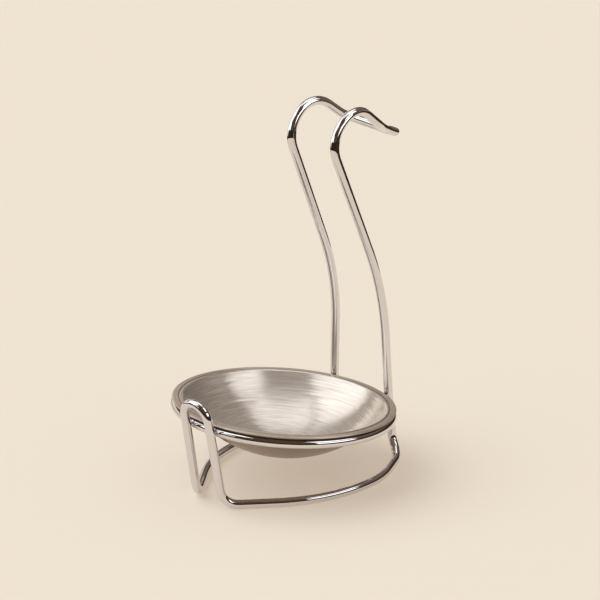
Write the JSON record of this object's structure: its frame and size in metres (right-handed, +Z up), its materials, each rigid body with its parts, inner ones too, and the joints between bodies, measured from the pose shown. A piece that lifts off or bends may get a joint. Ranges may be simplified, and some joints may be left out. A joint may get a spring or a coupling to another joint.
{
  "type": "ladle rest",
  "caption": "Chromed bent-wire stand with a hook to lean a ladle on, and a loose brushed steel dish in a ring below that catches the drips.",
  "frame": {"origin": "centre of the bounding box at table height, a little behind the dish's axis", "axes": "+Z up, -Y towards the front loop, +X to the right as seen from the front"},
  "size_m": [0.1214, 0.152, 0.2005],
  "materials": {
    "polished_chrome": "polished",
    "plated_weld": "satin",
    "brushed_steel": "brushed"
  },
  "bodies": {
    "stand": {"frame_wire": "polished_chrome", "support_ring": "polished_chrome", "front_weld_left": "plated_weld", "front_weld_right": "plated_weld", "rear_weld_left": "plated_weld", "rear_weld_right": "plated_weld", "tip_weld": "plated_weld"},
    "dish": {"dish": "brushed_steel"}
  },
  "joints": [
    {"name": "dish_lift", "type": "slide", "parent": "stand", "child": "dish", "axis": [0, -0.1788, 0.9839], "range_m": [0, 0.075]}
  ]
}
